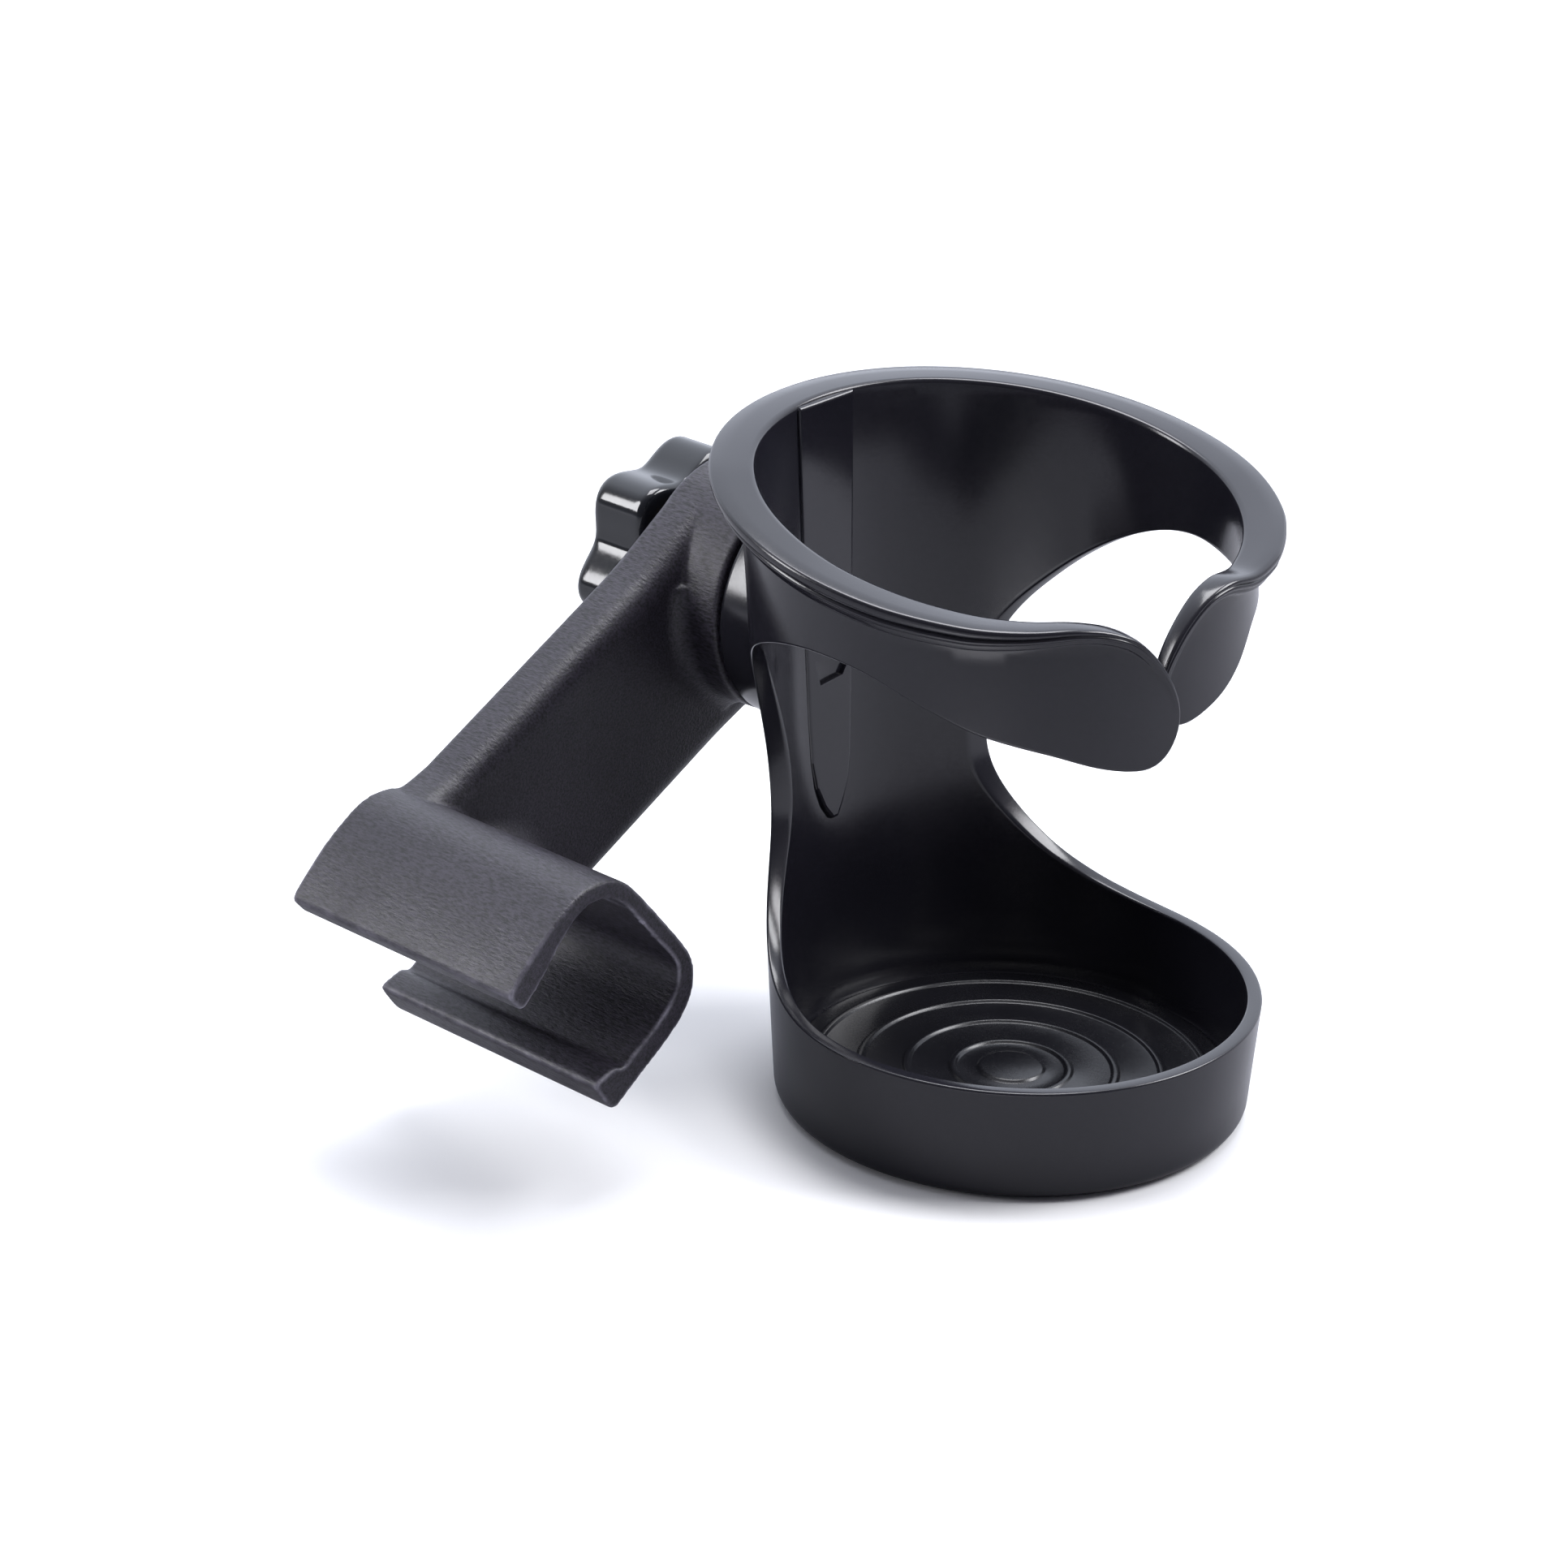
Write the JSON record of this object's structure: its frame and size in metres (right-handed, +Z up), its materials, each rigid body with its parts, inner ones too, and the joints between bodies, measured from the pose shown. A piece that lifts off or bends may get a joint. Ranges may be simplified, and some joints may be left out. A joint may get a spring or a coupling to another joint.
{
  "type": "clip-on cup holder",
  "caption": "Open-fronted cup holder on a friction pivot with a lobed hand knob, carried by a flat arm that ends in a C-shaped push-on edge clip",
  "frame": {"origin": "centre of the underside of the cup", "axes": "+Z up, X along the pivot axis with the cup opening towards +X and the knob towards -X, the clip towards -Y"},
  "size_m": [0.1416, 0.1598, 0.123],
  "materials": {
    "cup_plastic": "satin black moulding",
    "cover_plastic": "satin black moulding",
    "mat_rubber": "soft black, ribbed",
    "friction_rubber": "dense matte black",
    "arm_plastic": "fine brushed grain, dark charcoal",
    "knob_plastic": "polished black",
    "bolt_steel": "zinc plated",
    "washer_steel": "spring steel",
    "bush_brass": "plain turned brass"
  },
  "bodies": {
    "arm": {"arm_bracket": "arm_plastic", "pivot_bush": "bush_brass", "spring_washer": "washer_steel"},
    "cup": {"cup_shell": "cup_plastic", "floor_mat": "mat_rubber", "spine_cover": "cover_plastic", "pivot_bolt": "bolt_steel", "friction_ring": "friction_rubber", "bolt_end_clip": "washer_steel"},
    "carriage": {"thrust_washer": "washer_steel"},
    "knob": {"knob_body": "knob_plastic", "knob_insert": "bush_brass", "knob_cap": "knob_plastic"}
  },
  "joints": [
    {"name": "cup_tilt", "type": "hinge", "parent": "arm", "child": "cup", "pos_m": [-0.0565, 0, 0.0827], "axis": [1, 0, 0], "range_deg": [-20, 250]},
    {"name": "knob_travel", "type": "slide", "parent": "cup", "child": "carriage", "axis": [-1, 0, 0], "range_m": [0, 0.0025]},
    {"name": "knob_turn", "type": "hinge", "parent": "carriage", "child": "knob", "pos_m": [-0.088, 0, 0.0827], "axis": [-1, 0, 0], "range_deg": [0, 720]}
  ],
  "couplings": [
    {"joint": "knob_travel", "follows": "knob_turn", "m_per_rad": 0.00019894}
  ]
}
